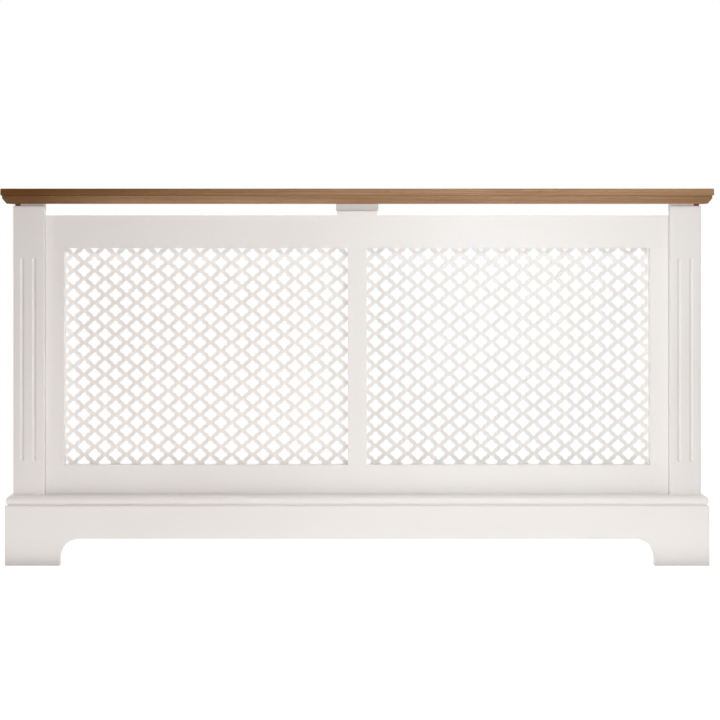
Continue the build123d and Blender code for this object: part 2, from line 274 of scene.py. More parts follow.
class NodeTree:
    """Short calls for building a tree of shader nodes."""

    def __init__(self, tree):
        self.tree = tree

    def node(self, kind, **settings):
        """New node; settings are its properties."""
        made = self.tree.nodes.new(kind)
        for key, value in settings.items():
            setattr(made, key, value)
        return made

    def feed(self, socket, value):
        """Link an output into a socket, or write a plain value on it."""
        if isinstance(value, bpy.types.NodeSocket):
            self.tree.links.new(value, socket)
        else:
            socket.default_value = value

    def math(self, operation, first, second=0.0, third=0.0, clamp=False):
        """Result of one sum on numbers or sockets."""
        made = self.node("ShaderNodeMath", operation=operation, use_clamp=clamp)
        for socket, value in zip(made.inputs, (first, second, third)):
            self.feed(socket, value)
        return made.outputs[0]

    def vector(self, operation, first, second=(0, 0, 0)):
        """Sum or product of vectors; the dot product is a number."""
        made = self.node("ShaderNodeVectorMath", operation=operation)
        self.feed(made.inputs[0], first)
        self.feed(made.inputs[1], second)
        return made.outputs["Value" if operation == "DOT_PRODUCT" else "Vector"]

    def split(self, vector):
        """X, Y and Z of a vector."""
        made = self.node("ShaderNodeSeparateXYZ")
        self.feed(made.inputs[0], vector)
        return made.outputs

    def output(self, kind, **inputs):
        """First output of a new node, its inputs set by name."""
        made = self.node(kind)
        for key, value in inputs.items():
            self.feed(made.inputs[key], opaque(value))
        return made.outputs[0]

    def merge(self, kind, *inputs):
        """First output of a new node, its inputs set in their order."""
        made = self.node(kind)
        for socket, value in zip(made.inputs, inputs):
            self.feed(socket, value)
        return made.outputs[0]

    def noise(self, vector, scale, detail=2.0, roughness=0.5):
        """Soft noise between 0 and 1."""
        settings = {"Vector": vector, "Scale": scale, "Detail": detail, "Roughness": roughness}
        return self.output("ShaderNodeTexNoise", **settings)

    def fit(self, value, low, high, to_low=0.0, to_high=1.0, smooth=False):
        """Map one range to another, held at its ends."""
        curve = "SMOOTHSTEP" if smooth else "LINEAR"
        made = self.node("ShaderNodeMapRange", interpolation_type=curve)
        for socket, number in zip(made.inputs, (value, low, high, to_low, to_high)):
            self.feed(socket, number)
        return made.outputs[0]

    def stops(self, value, places):
        """Straight lines through (value, share) places."""
        first, last = places[0][0], places[-1][0]
        made = self.node("ShaderNodeValToRGB")
        self.feed(made.inputs[0], self.fit(value, first, last))
        ramp = made.color_ramp
        while len(ramp.elements) < len(places):
            ramp.elements.new(0.5)
        for element, (place, share) in zip(ramp.elements, places):
            element.position = (place - first) / (last - first)
            element.color = (share, share, share, 1)
        return made.outputs[0]

    def mix(self, share, first, second, blend="MIX"):
        """Colour between the first and the second, which are colours or sockets."""
        made = self.node("ShaderNodeMix", data_type="RGBA", blend_type=blend)
        colours = [socket for socket in made.inputs if socket.type == "RGBA"]
        self.feed(made.inputs[0], share)
        for socket, value in zip(colours, (first, second)):
            self.feed(socket, opaque(value))
        return next(socket for socket in made.outputs if socket.type == "RGBA")

    def edge(self, radius):
        """1 on edges and corners within the radius, 0 on open faces."""
        bevel = self.node("ShaderNodeBevel", samples=4)
        bevel.inputs["Radius"].default_value = radius
        flat = self.node("ShaderNodeNewGeometry").outputs["Normal"]
        return self.fit(self.vector("DOT_PRODUCT", bevel.outputs[0], flat), 0.995, 0.86)

    def bump(self, height, distance, strength):
        """Normal of a surface raised by a height between 0 and 1."""
        return self.output("ShaderNodeBump", Height=height, Distance=distance, Strength=strength)

    def seen_directly(self):
        """1 for camera, mirror and glass rays, else 0."""
        rays = self.node("ShaderNodeLightPath").outputs
        shown = self.math("ADD", rays["Is Camera Ray"], rays["Is Glossy Ray"], clamp=True)
        return self.math("ADD", shown, rays["Is Transmission Ray"], clamp=True)


class Shader(NodeTree):
    """One surface material."""

    def __init__(self, name):
        self.material = bpy.data.materials.new(name)
        self.material.use_nodes = True
        super().__init__(self.material.node_tree)
        self.surface = self.tree.nodes["Principled BSDF"]
        self.place = self.node("ShaderNodeTexCoord").outputs["Object"]

    def finish(self, **inputs):
        """Set the surface's inputs by name, with spaces written as underscores."""
        for key, value in inputs.items():
            self.feed(self.surface.inputs[key.replace("_", " ")], value)
        return self.material


def scaled(colour, factor):
    """A linear colour made lighter or darker."""
    return tuple(min(1.0, channel * factor) for channel in colour)


def tinted(colour, tint):
    """A linear colour with each channel multiplied by the tint's."""
    return tuple(channel * share for channel, share in zip(colour, tint))


def paint_material(name, colour, seed):
    """Sprayed satin paint: slight clouding, orange peel, thinner film on the edges."""
    paint = Shader(name)
    moved = paint.vector("ADD", paint.place, (seed, seed * 0.7, seed * 1.3))
    cloud = paint.noise(moved, 2.6, 3.0, 0.55)
    fleck = paint.noise(moved, 260.0, 2.0, 0.6)
    broad_tone = paint.fit(cloud, 0.3, 0.7, 0.0, 0.7)
    fine_tone = paint.fit(fleck, 0.3, 0.7, 0.0, 0.3)
    warm = tinted(colour, (0.97, 0.96, 0.95))
    thin_film = tinted(colour, (0.93, 0.90, 0.86))
    body = paint.mix(paint.math("ADD", broad_tone, fine_tone), warm, scaled(colour, 1.015))
    worn = paint.math("MULTIPLY", paint.edge(0.0012), paint.fit(fleck, 0.35, 0.6, 0.3, 1.0))
    body = paint.mix(paint.math("MULTIPLY", worn, 0.35), body, thin_film)
    peel = paint.noise(moved, 420.0, 2.0, 0.5)
    broad = paint.noise(moved, 60.0, 2.0, 0.5)
    height = paint.math("MULTIPLY_ADD", peel, 0.6, broad)
    return paint.finish(
        Base_Color=body,
        Roughness=paint.math("MULTIPLY_ADD", worn, 0.12, paint.fit(cloud, 0.3, 0.7, 0.28, 0.36)),
        IOR=1.48,
        Normal=paint.bump(height, 0.00012, 0.35),
    )


# painted shade on the oak along X, from the end at the left: metres and share of the shade tint
BOARD_PAINTED_SHADE = (
    (-0.70, 0.97), (-0.62, 0.84), (-0.51, 0.76), (-0.25, 0.35), (0.0, 0.12), (0.18, 0.03),
    (0.60, 0.03), (0.77, 0.15),
)
MOULDING_PAINTED_SHADE = (
    (-0.70, 0.84), (-0.64, 0.64), (-0.51, 0.26), (-0.25, 0.0), (0.0, 0.2), (0.2, 0.0),
    (0.45, 0.0), (0.65, 0.24), (0.77, 0.46),
)
RING_WIDTH = 3.4 * MM


def oak_material(name, colours, along, offset, painted_shade):
    """Stained oak: growth rings round an axis along the grain, fibres, pores and flecks, with painted shade
    along X.
    """
    oak = Shader(name)
    x, y, z = oak.split(oak.place)
    length, across = (x, y) if along == "X" else (y, x)
    grain = oak.merge("ShaderNodeCombineXYZ", oak.math("ADD", length, offset), across, z)

    def grain_noise(stretch, *settings):
        return oak.noise(oak.vector("MULTIPLY", grain, stretch), 1.0, *settings)

    sway = grain_noise((0.9, 9.0, 9.0), 3.0, 0.5)
    wander = oak.math("MULTIPLY", grain_noise((2.2, 40, 40), 3.0), 0.006)
    _, grain_y, grain_z = oak.split(grain)
    ring_y = oak.math("ADD", grain_y, 0.035 + offset * 0.02)
    ring_z = oak.math("SUBTRACT", grain_z, 0.70)
    square = oak.math("ADD", oak.math("MULTIPLY", ring_y, ring_y), oak.math("MULTIPLY", ring_z, ring_z))
    radius = oak.math("MULTIPLY_ADD", sway, 0.05, oak.math("SQRT", square))
    radius = oak.math("ADD", radius, wander)
    ring = oak.math("FRACT", oak.math("MULTIPLY", radius, 1 / RING_WIDTH))
    late = oak.fit(ring, 0.25, 0.95, 0.0, 1.0, smooth=True)
    fibre = grain_noise((14, 900, 900), 3.0, 0.65)
    streak = grain_noise((3, 140, 140), 3.0, 0.6)
    pores = grain_noise((55, 1500, 1500), 1.0, 0.5)
    pore = oak.math("MULTIPLY", oak.fit(pores, 0.60, 0.70), oak.fit(ring, 0.45, 0.05, 0.15, 1.0))
    cloud = grain_noise((2.5, 12, 12), 2.0)

    early_wood, late_wood = tuple(colours.oak), tuple(colours.oak_late)
    banding = oak.math("MULTIPLY", late, 0.45)
    share = oak.math("ADD", banding, oak.fit(streak, 0.35, 0.68, 0.0, 0.65), clamp=True)
    body = oak.mix(share, early_wood, late_wood)
    body = oak.mix(oak.fit(fibre, 0.42, 0.72, 0.0, 0.28), body, scaled(late_wood, 0.62))
    body = oak.mix(oak.fit(cloud, 0.35, 0.7, 0.0, 0.30), body, scaled(early_wood, 1.25))
    body = oak.mix(oak.math("MULTIPLY", pore, 0.75), body, scaled(late_wood, 0.35))
    # painted shade: the oak is multiplied towards the shade tint along X, most at the left end, to stand in
    # for shade on it
    shade_tint = oak.mix(oak.stops(x, painted_shade), (1.0, 1.0, 1.0), tuple(colours.oak_darkening))
    body = oak.mix(1.0, body, shade_tint, "MULTIPLY")
    rubbed = oak.mix(1.0, body, (1.5, 1.5, 1.5), "MULTIPLY")
    body = oak.mix(oak.math("MULTIPLY", oak.edge(0.0015), 0.25), body, rubbed)
    height = oak.math("SUBTRACT", oak.math("MULTIPLY", fibre, 0.5), pore)
    return oak.finish(
        Base_Color=body,
        Roughness=oak.fit(streak, 0.3, 0.7, 0.46, 0.6),
        IOR=1.5,
        Specular_IOR_Level=0.2,
        Normal=oak.bump(height, 0.00025, 0.35),
    )


def rubber_material(name, colours):
    """Dense rubber with a dusty, pitted skin."""
    rubber = Shader(name)
    brown = tuple(colours.rubber)
    grit = rubber.noise(rubber.place, 900.0, 3.0, 0.6)
    cloud = rubber.noise(rubber.place, 120.0, 2.0)
    body = rubber.mix(rubber.fit(cloud, 0.3, 0.7), brown, scaled(brown, 0.7))
    body = rubber.mix(rubber.math("MULTIPLY", rubber.edge(0.0008), 0.3), body, scaled(brown, 1.7))
    return rubber.finish(
        Base_Color=body,
        Roughness=rubber.fit(grit, 0.3, 0.7, 0.72, 0.9),
        Normal=rubber.bump(grit, 0.0001, 0.5),
    )


def plastic_material(name, colours):
    """Moulded plastic with a fine spark texture and brighter rubbed edges."""
    plastic = Shader(name)
    spark = plastic.noise(plastic.place, 1400.0, 2.0, 0.5)
    flow = plastic.noise(plastic.vector("MULTIPLY", plastic.place, (60, 60, 14)), 1.0, 2.0)
    white = tuple(colours.plastic)
    body = plastic.mix(plastic.fit(flow, 0.3, 0.7), scaled(white, 0.94), white)
    rubbed = plastic.edge(0.0006)
    body = plastic.mix(plastic.math("MULTIPLY", rubbed, 0.4), body, scaled(white, 1.12))
    dull = plastic.fit(spark, 0.3, 0.7, 0.38, 0.5)
    return plastic.finish(
        Base_Color=body,
        Roughness=plastic.math("SUBTRACT", dull, plastic.math("MULTIPLY", rubbed, 0.1)),
        Subsurface_Weight=0.05,
        Subsurface_Radius=(0.001, 0.001, 0.001),
        Normal=plastic.bump(spark, 0.00006, 0.4),
    )


def steel_material(name, colours):
    """Ground steel pole plates with fine scratches across them."""
    steel = Shader(name)
    scratch = steel.noise(steel.vector("MULTIPLY", steel.place, (3000, 3000, 120)), 1.0, 3.0, 0.6)
    cloud = steel.noise(steel.place, 300.0, 2.0)
    grey = tuple(colours.steel)
    body = steel.mix(steel.fit(cloud, 0.3, 0.7), scaled(grey, 0.75), grey)
    return steel.finish(
        Base_Color=body,
        Metallic=1.0,
        Roughness=steel.fit(scratch, 0.3, 0.7, 0.25, 0.42),
        Normal=steel.bump(scratch, 0.00003, 0.4),
    )


def zinc_material(name, colours):
    """Bright zinc plate: crystal patches, bluish clouding and duller edges."""
    zinc = Shader(name)
    cells = zinc.node("ShaderNodeTexVoronoi")
    zinc.feed(cells.inputs["Vector"], zinc.place)
    cells.inputs["Scale"].default_value = 420.0
    patch_tone = zinc.split(cells.outputs["Color"])[0]
    cloud = zinc.noise(zinc.place, 45.0, 3.0)
    bright = tuple(colours.zinc)
    body = zinc.mix(patch_tone, scaled(bright, 0.86), bright)
    body = zinc.mix(zinc.fit(cloud, 0.4, 0.7, 0.0, 0.4), body, linear(170, 172, 164))
    worn = zinc.edge(0.0005)
    return zinc.finish(
        Base_Color=zinc.mix(zinc.math("MULTIPLY", worn, 0.4), body, linear(150, 148, 143)),
        Metallic=1.0,
        Roughness=zinc.math("MULTIPLY_ADD", patch_tone, 0.12, zinc.fit(cloud, 0.3, 0.7, 0.28, 0.4)),
        Normal=zinc.bump(cloud, 0.0001, 0.2),
    )


def material(name, make, *values):
    """The material of that name, made on its first use."""
    return bpy.data.materials.get(name) or make(name, *values)


def white_paint(seed, tone=1.0):
    """Paint of the cabinet; the seed shifts its clouding from piece to piece."""
    name = f"White paint {seed:g}"
    colour = scaled(bpy.context.scene.cabinet_colours.paint, tone)
    return material(name, paint_material, colour, seed)


# ---------------------------------------------------------------- shelf
MOULDING_BAND = 6 * MM         # upright band at the top of the moulding
MOULDING_BEVEL = 8 * MM        # how far the bevel below it runs in


def moulding_profile(width, bottom, height):
    """Section of the moulding under the board: (outward, up) points."""
    corners = [
        (0, 0, 0),
        (width - MOULDING_BEVEL, 0, 0.6 * MM),
        (width, height - MOULDING_BAND, 1.6 * MM),
        (width, height, 0.4 * MM),
        (0, height, 0),
    ]
    return [(outward, bottom + up) for outward, up in rounded(corners, 4)]


def mitred_front(bm, profile, half, face):
    """Run of a moulding across the front; profile points are (outward, up) from its inner edge."""
    width = max(outward for outward, _ in profile)
    rings = []
    for side in (-1, 1):
        rings.append([(side * (half - width + s), face + width - s, z) for s, z in profile])
    skin(bm, rings)


def mitred_side(bm, profile, side, half, face, back):
    """Run of a moulding along one end, mitred at the front and square at the wall."""
    width = max(outward for outward, _ in profile)
    at_front = [(side * (half - width + s), face + width - s, z) for s, z in profile]
    at_back = [(side * (half - width + s), back, z) for s, z in profile]
    skin(bm, [at_front, at_back])


class CABINET_OT_shelf(bpy.types.Operator):
    """Build the oak board and the mouldings under it, and paint its battens"""

    bl_idname = "cabinet.shelf"
    bl_label = "Shelf"

    def execute(self, context):
        sizes, colours = context.scene.cabinet_sizes, context.scene.cabinet_colours

        def oak(name, *settings):
            return material(name, oak_material, colours, *settings)

        low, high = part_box("shelf_board")
        bm = box_bm(low, high)
        wall = high.y - WELD_DISTANCE     # the edges at the wall stay square
        shown = [edge for edge in bm.edges if not all(vert.co.y > wall for vert in edge.verts)]
        bmesh.ops.bevel(bm, geom=shown, offset=sizes.shelf_arris, segments=6, profile=0.5, affect="EDGES")
        finish = oak("Oak board", "X", 0.0, BOARD_PAINTED_SHADE)
        piece_from(bm, "shelf_board_oak", "shelf", finish, ["shelf_board"])

        low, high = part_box("shelf_moulding_front")
        profile = moulding_profile(high.y - low.y, low.z, high.z - low.z)
        bm = bmesh.new()
        mitred_front(bm, profile, high.x, low.y)
        finish = oak("Oak front moulding", "X", 1.37, MOULDING_PAINTED_SHADE)
        piece_from(bm, "shelf_moulding_front_oak", "shelf", finish, ["shelf_moulding_front"])
        for side, word in SIDES:
            bm = bmesh.new()
            mitred_side(bm, profile, side, high.x, low.y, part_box("shelf_board")[1].y)
            finish = oak(f"Oak {word} moulding", "Y", 2.1 + side * 0.4, MOULDING_PAINTED_SHADE)
            node = f"shelf_moulding_{word}"
            piece_from(bm, f"{node}_oak", "shelf", finish, [node])

        # painted light: the battens take the whiter paint so that they look lit under the shelf
        paint = material("Batten paint", paint_material, colours.batten_paint, 5.2)
        for word in ("left", "right", "centre"):
            finish_node(f"shelf_batten_{word}", paint, sizes.paint_arris)
        return {"FINISHED"}


# ---------------------------------------------------------------- posts
POST_TONES = (0.97, 0.95)      # tone of the left and the right post against the boards'
FLUTE_ROOT = 0.25 * MM         # small rounding at the bottom of a flute
FLUTE_SHARES = (1.0, 0.93, 0.75, 0.5, 0.25, 0.1, 0.0)     # lines across half a flute
FLUTE_END_FLAT = 3 * MM        # flat worked with the flute's end, beyond its tip


def flute_end(bm, x, z, way, face, offsets, depth_at, reach):
    """Rounded end of a flute and the flat between it and a straight level beyond it."""
    steps = 16
    turns = [math.pi * step / steps for step in range(steps + 1)]
    rows = []
    for offset in offsets[:-1]:
        y = face + depth_at(offset)
        rows.append([(x + offset * math.cos(a), y, z + way * offset * math.sin(a)) for a in turns])
    patch(bm, rows)
    middle = bm.verts.new((x, face + depth_at(0), z))
    inner = [bm.verts.new(point) for point in rows[-1]]
    for first, second in zip(inner, inner[1:]):
        bm.faces.new((first, second, middle))
    level = z + way * reach
    patch(bm, [rows[0], [(px, face, level) for px, _, _ in rows[0]]])
    return [px for px, _, _ in rows[0]], level


def fluted_post(low, high, sizes):
    """Post with rounded front corners and two V-shaped flutes with rounded ends."""
    bm = bmesh.new()
    face = low.y
    half = sizes.flute_width / 2
    slope = sizes.flute_depth / half

    def depth_at(offset):
        return slope * (math.hypot(half, FLUTE_ROOT) - math.hypot(offset, FLUTE_ROOT))

    offsets = [half * share for share in FLUTE_SHARES]
    bottom, top = sizes.flute_low + half, sizes.flute_high - half
    reach = half + FLUTE_END_FLAT
    levels = [low.z, bottom - reach, bottom, top, top + reach, high.z]
    middle = (low.x + high.x) / 2 + sizes.flute_shift
    stops = []
    for x in (middle - sizes.flute_spacing / 2, middle + sizes.flute_spacing / 2):
        across = [-o for o in offsets] + offsets[-2::-1]
        patch(bm, [[(x + o, face + depth_at(o), z) for o in across] for z in (bottom, top)])
        for z, way, limit in ((bottom, -1, low.z), (top, 1, high.z)):
            columns, level = flute_end(bm, x, z, way, face, offsets, depth_at, reach)
            patch(bm, [[(px, face, level) for px in columns], [(px, face, limit) for px in columns]])
        stops.append((x - half, x + half))
    arris = sizes.post_arris
    left = arc((low.x + arris, face + arris), arris, 180, 270, 6)
    right = arc((high.x - arris, face + arris), arris, 270, 360, 6)
    strips = [
        [(low.x, high.y), *left, (stops[0][0], face)],
        [(stops[0][1], face), (stops[1][0], face)],
        [(stops[1][1], face), *right, (high.x, high.y)],
        [(high.x, high.y), (low.x, high.y)],
    ]
    for strip in strips:
        patch(bm, [[(x, y, z) for x, y in strip] for z in levels])
    bmesh.ops.remove_doubles(bm, verts=bm.verts, dist=WELD_DISTANCE)
    bmesh.ops.holes_fill(bm, edges=[edge for edge in bm.edges if edge.is_boundary], sides=0)
    return bm


class CABINET_OT_posts(bpy.types.Operator):
    """Build the two fluted posts"""

    bl_idname = "cabinet.posts"
    bl_label = "Fluted Posts"

    def execute(self, context):
        for index, (_, word) in enumerate(SIDES):
            bm = fluted_post(*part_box(f"post_{word}"), context.scene.cabinet_sizes)
            paint = white_paint(11.0 + 3 * index, POST_TONES[index])
            piece_from(bm, f"post_{word}_fluted", "cabinet", paint, [f"post_{word}"])
        return {"FINISHED"}


# ---------------------------------------------------------------- skirting
ARCH_HALF = 643 * MM
ARCH_HEIGHT = 58 * MM
ARCH_CORNER = 43 * MM
ARCH_LEAD = 12 * MM            # first line of corners on the face, out from the foot of the arch
NOSE_SETBACK = 1.5 * MM        # widest point of the nose behind the face
NOSE_RADIUS = 10 * MM          # rounding of the nose above its plain band
NOSE_BAND = 3.3 * MM
NOSE_UNDER = 4 * MM            # rounding below the band
GROOVE_HEIGHT = 3.8 * MM
GROOVE_DEPTH = 5.7 * MM
GROOVE_BEND = 0.8 * MM
SHOULDER = 1.6 * MM            # rounding between the groove and the face
SKIRTING_ARRIS = 0.3 * MM
SKIRTING_ARRIS_ANGLE = 40      # degrees


def skirting_face(thickness, height):
    """Shown part of the skirting's section from above its lower edge: face, groove and nose."""
    nose = thickness - NOSE_SETBACK
    band_top = height - NOSE_RADIUS
    band_bottom = band_top - NOSE_BAND
    nose_bottom = band_bottom - NOSE_UNDER
    groove = nose_bottom - GROOVE_HEIGHT
    deep = thickness - GROOVE_DEPTH
    shoulder = arc((thickness - SHOULDER, groove - SHOULDER), SHOULDER, 0, 90, 5)
    floor_bend = [(deep + GROOVE_BEND, groove), (deep, groove + GROOVE_BEND), (deep, nose_bottom)]
    lower = arc((nose - NOSE_UNDER, band_bottom), NOSE_UNDER, -90, 0, 6)
    upper = arc((nose - NOSE_RADIUS, band_top), NOSE_RADIUS, 0, 90, 12)
    return shoulder + floor_bend + lower + upper + [(0, height)]


def arch_points():
    """Points up the left side of the arch and round its corner, each with its normal."""
    centre = (-ARCH_HALF + ARCH_CORNER, ARCH_HEIGHT - ARCH_CORNER)
    points = [((-ARCH_HALF, 0), (-1, 0))]
    for step in range(15):
        angle = math.radians(90 * step / 14)
        normal = (-math.cos(angle), math.sin(angle))
        points.append(((centre[0] + ARCH_CORNER * normal[0], centre[1] + ARCH_CORNER * normal[1]), normal))
    return points


def skirting_board(half, face, thickness, height, arris):
    """Front skirting: one ring of corners at each station along the arch."""
    shown = skirting_face(thickness, height)
    turns = [math.radians(90 * step / 4) for step in range(5)]

    def mitre(side):
        edge = [(0, 0), (thickness - arris, 0)]
        edge += [(thickness - arris + arris * math.sin(a), 0) for a in turns[1:]]
        return [(side * (half - thickness + s), face + thickness - s, z) for s, z in edge + shown]

    def station(point, normal, side, spread):
        edge = [(0, 0), (thickness - arris, 0)]
        edge += [(thickness - arris + arris * math.sin(a), arris * (1 - math.cos(a))) for a in turns[1:]]
        ring = [(side * (point[0] + normal[0] * o), face + thickness - s, point[1] + normal[1] * o)
                for s, o in edge]
        x = side * (point[0] + normal[0] * (arris + spread))
        return ring + [(x, face + thickness - s, z) for s, z in shown]

    points = arch_points()
    spreads = [ARCH_LEAD] + [0.0] * (len(points) - 1)
    left = [station(p, n, 1, spread) for (p, n), spread in zip(points, spreads)]
    right = [station(p, n, -1, spread) for (p, n), spread in zip(points, spreads)]
    bm = bmesh.new()
    skin(bm, [mitre(-1), *left, *reversed(right), mitre(1)])
    return bm


class CABINET_OT_skirting(bpy.types.Operator):
    """Build the arched skirting and its mitred returns"""

    bl_idname = "cabinet.skirting"
    bl_label = "Skirting"

    def execute(self, context):
        sizes = context.scene.cabinet_sizes
        low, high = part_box("skirting_front")
        thickness, height = high.y - low.y, high.z - low.z
        bm = skirting_board(high.x, low.y, thickness, height, sizes.arch_arris)
        front = piece_from(
            bm, "skirting_front_arched", "cabinet", white_paint(21.0), ["skirting_front"])
        soften(front, SKIRTING_ARRIS, SKIRTING_ARRIS_ANGLE)
        profile = [(0, 0), (thickness, 0), *skirting_face(thickness, height)]
        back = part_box("skirting_return_left")[1].y
        for side, word in SIDES:
            bm = bmesh.new()
            mitred_side(bm, profile, side, high.x, low.y, back)
            node = f"skirting_return_{word}"
            paint = white_paint(24.0 + side)
            run = piece_from(bm, f"{node}_run", "cabinet", paint, [node])
            soften(run, SKIRTING_ARRIS, SKIRTING_ARRIS_ANGLE)
        return {"FINISHED"}


# ---------------------------------------------------------------- pierced sheets
HOLE_CORNERS = (        # one quarter of a hole: x, z and rounding of each corner, in millimetres
    (14.6, 0.0, 2.2),
    (9.7, 4.9, 2.0),
    (6.1, 6.1, 1.0),
    (4.9, 9.7, 2.0),
)
HOLE_SQUASH = 0.98      # height of a hole against its width
LATTICES = {            # middle of one hole of each sheet, in millimetres
    "left": (-621.8, 654.3),
    "right": (40.3, 656.3),
}
SHEET_TONES = (1.07, 0.96)     # tone of the left and the right sheet against the boards'
HOLE_RIM = 0.35 * MM           # width and depth of the softened rim of a hole


def hole_outline(scale):
    """Lobed outline of a hole from its right-hand tip round, an even number of points to a quarter."""
    corners = []
    for turn in range(4):
        for x, z, radius in HOLE_CORNERS:
            for _ in range(turn):
                x, z = -z, x
            corners.append((x * scale * MM, z * scale * MM, radius * scale * MM))
    points = rounded(corners, 2)
    points = points[1:] + points[:1]
    return [(p.x, p.y * HOLE_SQUASH) for p in points]


def hole_cell(across, up, scale):
    """Hole outline, its softened rim and the diamond of sheet round it, point for point."""
    outline = hole_outline(scale)
    rim = []
    for x, z in outline:
        length = math.hypot(x, z)
        rim.append((x * (1 + HOLE_RIM / length), z * (1 + HOLE_RIM / length)))
    diamond = [(across, 0), (0, up), (-across, 0), (0, -up)]
    steps = len(outline) // 4
    border = []
    for quarter in range(4):
        a, b = diamond[quarter], diamond[(quarter + 1) % 4]
        for step in range(steps):
            share = step / steps
            border.append((a[0] + (b[0] - a[0]) * share, a[1] + (b[1] - a[1]) * share))
    return outline, rim, border


def cells_between(low, high, step):
    """Numbers of the cells that reach into a span, counted in steps from 0."""
    return range(math.floor(low / step) - 1, math.ceil(high / step) + 2)


def pierced_sheet(low, high, middle, sizes):
    """Sheet cut from a larger pierced panel: a lattice of cells trimmed to the sheet's limits."""
    across, up = sizes.pitch_across / 2, sizes.pitch_up / 2
    outline, rim, border = hole_cell(across, up, sizes.hole_scale)
    front, back = low.y, high.y
    loops = [
        [(x, front, z) for x, z in border],
        [(x, front, z) for x, z in rim],
        [(x, front + HOLE_RIM, z) for x, z in outline],
        [(x, back, z) for x, z in outline],
        [(x, back, z) for x, z in border],
    ]
    count = len(outline)
    corners, faces = [], []
    for column in cells_between(low.x - middle[0], high.x - middle[0], across):
        for row in cells_between(low.z - middle[1], high.z - middle[1], up):
            if (column + row) % 2:
                continue
            base = len(corners)
            at = (middle[0] + column * across, middle[1] + row * up)
            corners += [(x + at[0], y, z + at[1]) for loop in loops for x, y, z in loop]
            for ring in range(len(loops) - 1):
                for index in range(count):
                    a, b = base + ring * count + index, base + ring * count + (index + 1) % count
                    faces.append((a, b, b + count, a + count))
    mesh = bpy.data.meshes.new("cells")
    mesh.from_pydata(corners, [], faces)
    bm = bmesh.new()
    bm.from_mesh(mesh)
    bpy.data.meshes.remove(mesh)
    bmesh.ops.remove_doubles(bm, verts=bm.verts, dist=WELD_DISTANCE)
    for corner, normal in ((low, (-1, 0, 0)), (low, (0, 0, -1)), (high, (1, 0, 0)), (high, (0, 0, 1))):
        everything = bm.verts[:] + bm.edges[:] + bm.faces[:]
        bmesh.ops.bisect_plane(bm, geom=everything, plane_co=corner, plane_no=normal, clear_outer=True)
    bmesh.ops.holes_fill(bm, edges=[edge for edge in bm.edges if edge.is_boundary], sides=0)
    return bm


class CABINET_OT_grilles(bpy.types.Operator):
    """Build the two pierced sheets"""

    bl_idname = "cabinet.grilles"
    bl_label = "Pierced Sheets"

    def execute(self, context):
        for index, (word, middle) in enumerate(LATTICES.items()):
            low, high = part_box(f"grille_{word}")
            bm = pierced_sheet(low, high, (middle[0] * MM, middle[1] * MM), context.scene.cabinet_sizes)
            paint = white_paint(31.0 + index, SHEET_TONES[index])
            piece_from(bm, f"grille_{word}_lobed", "front_panel", paint, [f"grille_{word}"])
        return {"FINISHED"}


# ---------------------------------------------------------------- boards and fittings
PAINTED_BOARDS = (
    "side_panel_left", "side_panel_right", "panel_packer_left", "panel_packer_right", "panel_stop_left",
    "panel_stop_right", "front_sill", "plinth_rail", "top_rail", "bottom_rail", "stile_left", "stile_right",
    "mullion", "shelf_rest_block", "grille_beads_left", "grille_beads_right",
)
FITTED_BOARDS = ("top_rail", "bottom_rail", "stile_left", "stile_right", "mullion")
CATCH_WIDTH = 14 * MM
CATCH_HEIGHT = 40 * MM
CATCH_SCREW_SHIFT = 12 * MM    # screws above and below the middle of a catch
CATCH_SCREW_RADIUS = 2.8 * MM
BRACKET_GAUGE = 2 * MM
BRACKET_SCREW_PLACES = (9 * MM, 25 * MM)      # from the tip of a bracket's leg
BRACKET_SCREW_RADIUS = 3.6 * MM
BATTEN_SCREW_INSET = 9 * MM    # from the rear edge of a corner batten
BATTEN_SCREW_SHARES = (0.25, 0.75)            # along the batten
BATTEN_SCREW_RADIUS = 3.2 * MM
SCREW_HEAD_STEPS = (           # radius and level up the head, as shares
    (1.0, -0.05), (1.0, 0.3), (0.93, 0.62), (0.8, 0.85), (0.62, 1.0),
)
RECESS_STEPS = ((1.0, 1.0), (0.8, 0.35))      # the same for the cross recess, from its rim down


class CABINET_OT_boards(bpy.types.Operator):
    """Paint the plain boards of the carcass and the front panel"""

    bl_idname = "cabinet.boards"
    bl_label = "Painted Boards"

    def execute(self, context):
        sizes = context.scene.cabinet_sizes
        for index, name in enumerate(PAINTED_BOARDS):
            arris = sizes.fitted_arris if name in FITTED_BOARDS else sizes.paint_arris
            finish_node(name, white_paint(40.0 + 1.7 * index), arris)
        return {"FINISHED"}


def screw_head(bm, place, out, radius):
    """Pan head with a cross recess; `out` points away from the surface it sits on."""
    turn = Vector(out).to_track_quat("Z", "Y").to_matrix()
    height = 0.6 * radius
    arm, half = 0.5 * radius, 0.12 * radius
    bend = (arm + half) / 2
    quarter = [(arm, 0), (arm, half), (bend, half), (half, half), (half, bend), (half, arm)]
    cross = []
    for _ in range(4):
        cross += quarter
        quarter = [(-y, x) for x, y in quarter]
    turns = [math.radians(360 * step / len(cross)) for step in range(len(cross))]
    circle = [(radius * math.cos(a), radius * math.sin(a)) for a in turns]
    rings = []
    for outline, steps in ((circle, SCREW_HEAD_STEPS), (cross, RECESS_STEPS)):
        rings += [[(x * share, y * share, level * height) for x, y in outline] for share, level in steps]
    skin(bm, [[Vector(place) + turn @ Vector(point) for point in ring] for ring in rings])


def screws(name, body, places, material, radius):
    """One piece holding the screw heads at the given (place, outward direction) pairs."""
    bm = bmesh.new()
    for place, out in places:
        screw_head(bm, place, out, radius)
    return piece_from(bm, name, body, material)


